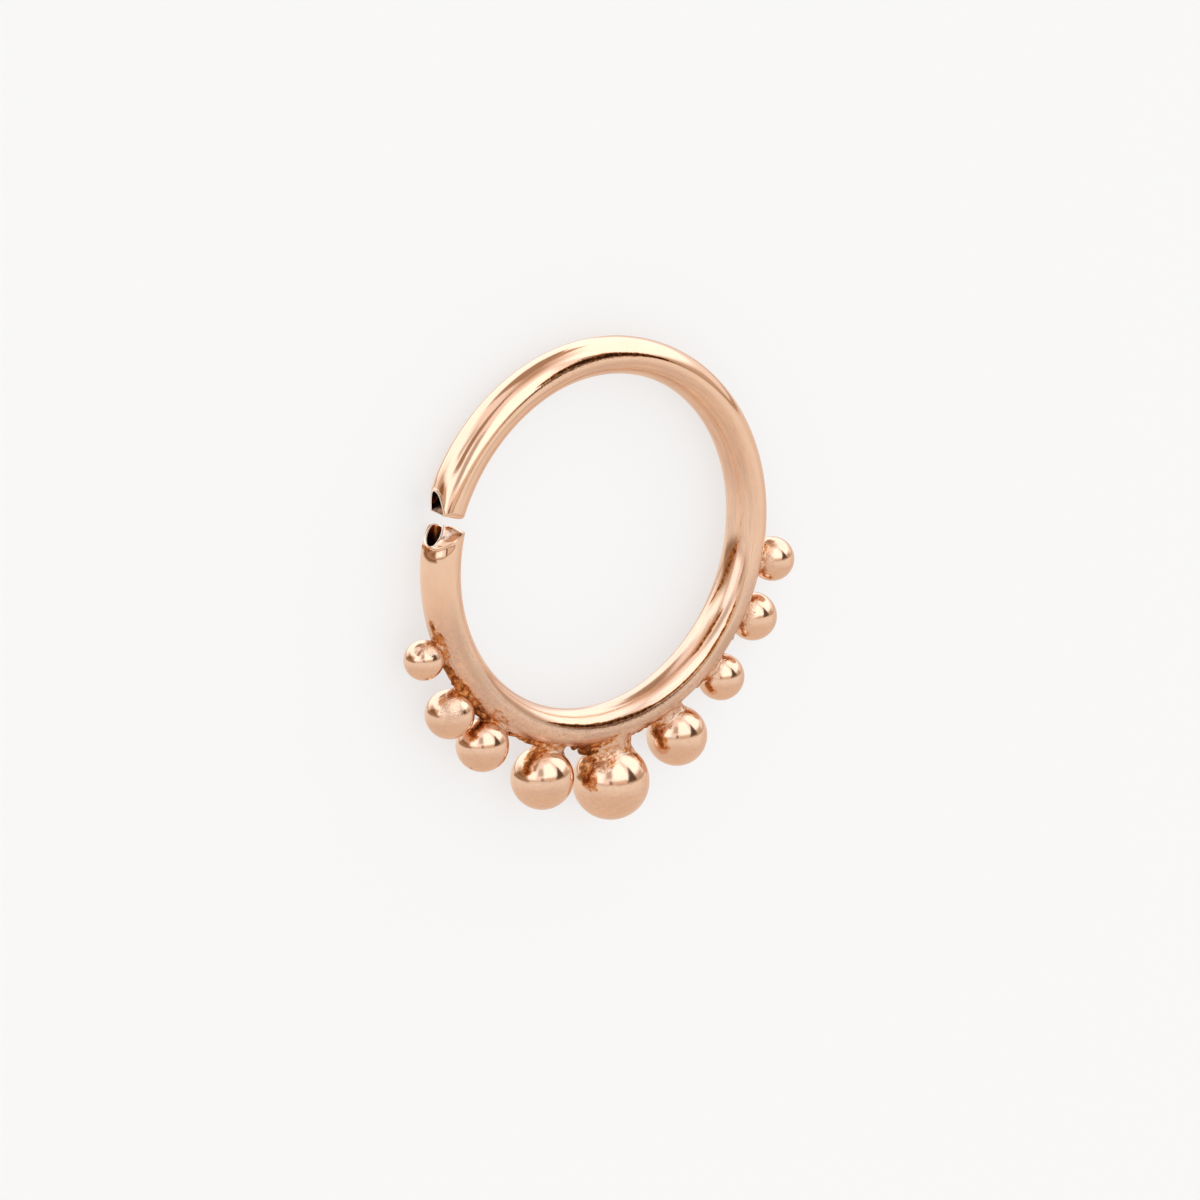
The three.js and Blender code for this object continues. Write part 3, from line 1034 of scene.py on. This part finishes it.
def make_metal(name, colour, polish):
    material = bpy.data.materials.new(name)
    s = Shader(material)
    place = s.node("ShaderNodeTexCoord").outputs["Object"]
    names = ("burn", "grain", "satin", "darkened", "brushed", "rough", "worn")
    burn, grain, satin, darkened, brushed, rough, worn = (s.field(name) for name in names)
    drawn = s.field("drawn", "Vector")

    blotch, speck, cloud, pebble = (s.noise(place, n, MM) for n in (BLOTCH, SPECK, CLOUD, PEBBLE))
    scratch = s.noise(s.vectors("MULTIPLY", drawn, (1 / SCRATCH_LENGTH, 1, 1)), SCRATCH)
    band = s.noise(s.vectors("MULTIPLY", drawn, (1 / BAND_LENGTH, 1, 1)), BAND)

    uneven = s.times(s.math("SUBTRACT", blotch, 0.5), 1.25)
    broken = s.math("ADD", burn, s.times(uneven, s.step(burn, 0.0, 0.3)))
    lines = s.math("MULTIPLY_ADD", brushed, 0.16, 0.07)
    specks = s.math("MULTIPLY_ADD", rough, 0.5, s.times(grain, 0.40))
    bands = s.math("MULTIPLY_ADD", brushed, 0.35, s.times(satin, 0.55))

    # What lies over the bare metal, from below upwards: a colour, and two shares to multiply.
    layers = [
        (BROWN, s.step(scratch, 0.52, 0.72), lines),
        (MAUVE, s.step(band, 0.42, 0.62), bands),
        (MAUVE, s.step(blotch, 0.45, 0.62), s.times(satin, 0.50)),
        (BROWN, s.step(speck, 0.52, 0.68), s.times(satin, 0.27)),
        (BROWN, s.step(speck, 0.54, 0.70), specks),
        # Painted darker reflections, where the metal is darkened.
        ([c * DARKENING for c in colour], darkened, 1.0),
        # Scorch from the soldering; where the burn field holds it, also painted shade and painted dark
        # reflections.
        (AMBER, s.step(broken, 0.10, 0.42), 1.0),
        (BROWN, s.step(broken, 0.42, 0.75), 1.0),
        (SOOT_AND_SHADE, s.step(broken, 0.80, 1.10), 1.0),
        # Painted highlights, in white.
        (PURE_WHITE, worn, 0.9),
    ]
    tone = s.mix(s.step(cloud, 0.3, 0.7), rgba(colour), rgba(colour, 0.95))
    for laid, where, share in layers:
        tone = s.mix(s.times(where, share), tone, rgba(laid))

    # Roughness, from the flame, the brushing and the painted highlights.
    matte = s.times(s.math("MAXIMUM", s.step(burn, 0.05, 0.5), grain), 0.20)
    brushing = s.times(satin, s.math("MULTIPLY_ADD", band, 0.20, 0.12))
    brushing = s.math("MULTIPLY_ADD", brushed, 0.10, brushing)
    edge = s.math("MULTIPLY_ADD", worn, 0.32, polish)
    roughness = s.math("ADD", s.math("ADD", matte, brushing), edge)

    # Relief too fine for the mesh.
    ripple = s.times(scratch, s.math("MULTIPLY_ADD", satin, 0.10, 0.035))
    lumpy = s.math("MULTIPLY_ADD", satin, 0.16, s.math("MULTIPLY_ADD", rough, 0.25, 0.05))
    pebbled = s.times(pebble, s.math("ADD", grain, lumpy))
    relief = {"Strength": 1.0, "Distance": RELIEF * MM, "Height": s.math("ADD", ripple, pebbled)}
    bump = s.node("ShaderNodeBump", relief)

    metal = s.node("ShaderNodeBsdfPrincipled", {
        "Base Color": tone,
        "Metallic": 1.0,
        "Roughness": roughness,
        "Normal": bump.outputs["Normal"],
    })
    s.node("ShaderNodeOutputMaterial", {"Surface": metal.outputs["BSDF"]})
    return material


# ---- Camera

LENS = 450.0
SENSOR = 36.0
CAMERA_RIGHT = Vector((0.8001, -0.0434, 0.5984))
CAMERA_UP = Vector((0.2379, 0.9386, -0.2501))
CAMERA_BACK = CAMERA_RIGHT.cross(CAMERA_UP)
DISTANCE = 348.92  # from the ring's centre
RING_OFF_CENTRE = (-0.1361, 1.3648)  # of the picture, to the right and up
CLIPPING = (0.01, 20)  # metres


def camera_axes():
    right, back = CAMERA_RIGHT.normalized(), CAMERA_BACK.normalized()
    return right, back.cross(right), back


def make_camera():
    data = bpy.data.cameras.new("camera")
    data.lens, data.sensor_width = LENS, SENSOR
    data.clip_start, data.clip_end = CLIPPING
    camera = add_object("camera", data)
    right, up, back = camera_axes()
    aside, above = RING_OFF_CENTRE
    place = Vector(SHIFT) * MM + (DISTANCE * back - aside * right - above * up) * MM
    camera.matrix_world = Matrix.Translation(place) @ Matrix((right, up, back)).transposed().to_4x4()
    bpy.context.scene.camera = camera


# ---- Studio

STUDIO_TILT = 15.6  # degrees between the picture's upright and the studio's
WARMTH = (0.968, 0.853, 0.77)  # of everything that the metal mirrors
WHITE = (0.88, 1.02, 1.12)
SKY = (1.0, 1.0, 1.05)
GREY = (0.9, 0.88, 0.85)
TAN = (1.0, 0.86, 0.72)
BRONZE = (1.0, 0.74, 0.56)
RUST = (1.0, 0.62, 0.33)
CREAM = (1.0, 0.93, 0.88)
DARK = (1.0, 0.70, 0.50)

# The studio round the hoop, as the polished metal mirrors it, from straight below upwards. Between
# the two elevations of each layer, the light changes to the layer's colour and strength.
UNDERFLOOR = (0.83, 0.74, 0.65)
Layer = namedtuple("Layer", "low high colour strength")
LAYERS = [
    Layer(-75, -45, (0.83, 0.76, 0.70), 1.0),
    Layer(-40, -7, (0.97, 0.99, 0.98), 1.0),
    Layer(2.0, 5.5, SKY, 1.10),
    Layer(68, 88, BRONZE, 0.60),
]

# Each patch is a share of the studio's round, in degrees: its middle and half width to the right of
# the camera, its lowest and highest elevation, how soft its edges are, its colour and strength. A
# pointed patch narrows to nothing at its top, and the middle moves by slant for each degree up.
Patch = namedtuple("Patch", "middle half low high soft colour strength pointed slant", defaults=(0, 0))
PATCHES = [
    Patch(-103, 82, 20, 48, 12, WHITE, 1.66),
    Patch(-155, 30, 8, 30, 10, WHITE, 1.62),
    Patch(-40, 18, 7, 40, 8, WHITE, 1.66),
    Patch(33, 26, 12, 64, 12, WHITE, 1.72),
    Patch(128, 54, 19, 66, 12, WHITE, 1.72),
    Patch(155, 45, -45, 4, 40, CREAM, 0.84),
    Patch(-5, 10, 21, 47, 8, GREY, 0.66),
    Patch(-72, 10, 40, 56, 10, GREY, 0.92),
    Patch(-40, 14, 35, 80, 12, BRONZE, 0.43),
    Patch(-152, 31, 48, 80, 12, BRONZE, 0.46),
    Patch(174, 14, 54, 76, 10, BRONZE, 0.62),
    Patch(30, 24, 5, 14, 6, TAN, 0.82),
    Patch(98, 18, 1, 15, 8, TAN, 0.62),
    Patch(69, 19, 3, 45, 6, DARK, 0.12, 1, 0.12),
    Patch(-82, 28, 3, 26, 12, TAN, 0.68),
    Patch(-84, 42, -4, 24, 9, RUST, 0.30, 1),
    Patch(1, 5, 4, 13, 3, DARK, 0.25),
    Patch(0, 180, 1.5, 4.5, 2, BRONZE, 0.50),
]


def make_studio():
    world = bpy.data.worlds.new("studio")
    bpy.context.scene.world = world
    s = Shader(world)
    towards = s.node("ShaderNodeTexCoord").outputs["Generated"]
    right, up, back = camera_axes()
    tilt = math.radians(STUDIO_TILT)
    studio_up = up * math.cos(tilt) + back * math.sin(tilt)
    studio_front = right.cross(studio_up)

    def along(axis):
        return s.vectors("DOT_PRODUCT", towards, axis, "Value")

    def warm(colour, strength):
        return rgba([c * w for c, w in zip(colour, WARMTH)], strength)

    degree = math.radians(1)
    round_angle = s.math("DIVIDE", s.math("ARCTAN2", along(right), along(studio_front)), degree)
    height = s.math("DIVIDE", s.math("ARCSINE", along(studio_up)), degree)

    light = warm(UNDERFLOOR, 1.0)
    for layer in LAYERS:
        risen = s.step(height, layer.low, layer.high)
        light = s.mix(risen, light, warm(layer.colour, layer.strength))
    for patch in PATCHES:
        climbed = s.math("SUBTRACT", height, patch.low)
        middle = s.math("MULTIPLY_ADD", climbed, patch.slant, patch.middle)
        narrowing = -patch.pointed * patch.half / (patch.high - patch.low)
        width = s.math("MULTIPLY_ADD", climbed, narrowing, patch.half)
        aside = s.math("ABSOLUTE", s.math("SUBTRACT", round_angle, middle))
        beside = s.step(s.math("SUBTRACT", width, aside), -patch.soft / 2, patch.soft / 2)
        above = s.step(height, patch.low - patch.soft / 4, patch.low + patch.soft / 4)
        below = s.step(s.math("SUBTRACT", patch.high, height), -patch.soft / 2, patch.soft / 2)
        share = s.times(s.times(beside, above), below)
        light = s.mix(share, light, warm(patch.colour, patch.strength))
    ray = s.node("ShaderNodeLightPath").outputs
    unmirrored = s.math("MAXIMUM", ray["Is Camera Ray"], ray["Is Diffuse Ray"])
    mirrored = s.node("ShaderNodeBackground", {"Color": light}).outputs[0]
    plain = s.node("ShaderNodeBackground", {"Color": rgba(PURE_WHITE)}).outputs[0]
    shown = s.node("ShaderNodeMixShader", {0: unmirrored, 1: mirrored, 2: plain}).outputs[0]
    s.node("ShaderNodeOutputWorld", {"Surface": shown})


FLOOR_RADIUS = 600.0
FLOOR_SIDES = 96
FLOOR_SHADE = 0.3  # how much of the light on it the floor gives back
FLOOR_GLOW = 0.62  # and how much comes up through it
FLOOR_ROUGHNESS = 0.6


def make_floor():
    """A pale floor, lit from below as well, like a table for photographs."""
    turns = np.radians(np.arange(FLOOR_SIDES) * 360 / FLOOR_SIDES)
    rim = FLOOR_RADIUS * np.stack([np.cos(turns), np.sin(turns), 0 * turns], -1) * MM
    mesh = bpy.data.meshes.new("floor")
    mesh.from_pydata(rim.tolist(), [], [list(range(FLOOR_SIDES))])
    material = bpy.data.materials.new("pale_floor")
    s = Shader(material)
    plain = s.node("ShaderNodeBsdfPrincipled", {
        "Base Color": rgba(PURE_WHITE, FLOOR_SHADE),
        "Roughness": FLOOR_ROUGHNESS,
        "Emission Color": rgba(PURE_WHITE),
        "Emission Strength": FLOOR_GLOW,
    })
    s.node("ShaderNodeOutputMaterial", {"Surface": plain.outputs["BSDF"]})
    mesh.materials.append(material)
    floor = add_object("floor", mesh)
    floor.visible_glossy = False


# ---- The scene

make_camera()
make_studio()
make_floor()
polished = make_metal("rose_gold_polished", GOLD, POLISH)
melted_gold = make_metal("rose_gold_solder", SOLDER, MELTED)
make_tube(polished)
make_beads(polished)
make_solder(melted_gold)
bpy.context.scene.view_settings.view_transform = "Standard"
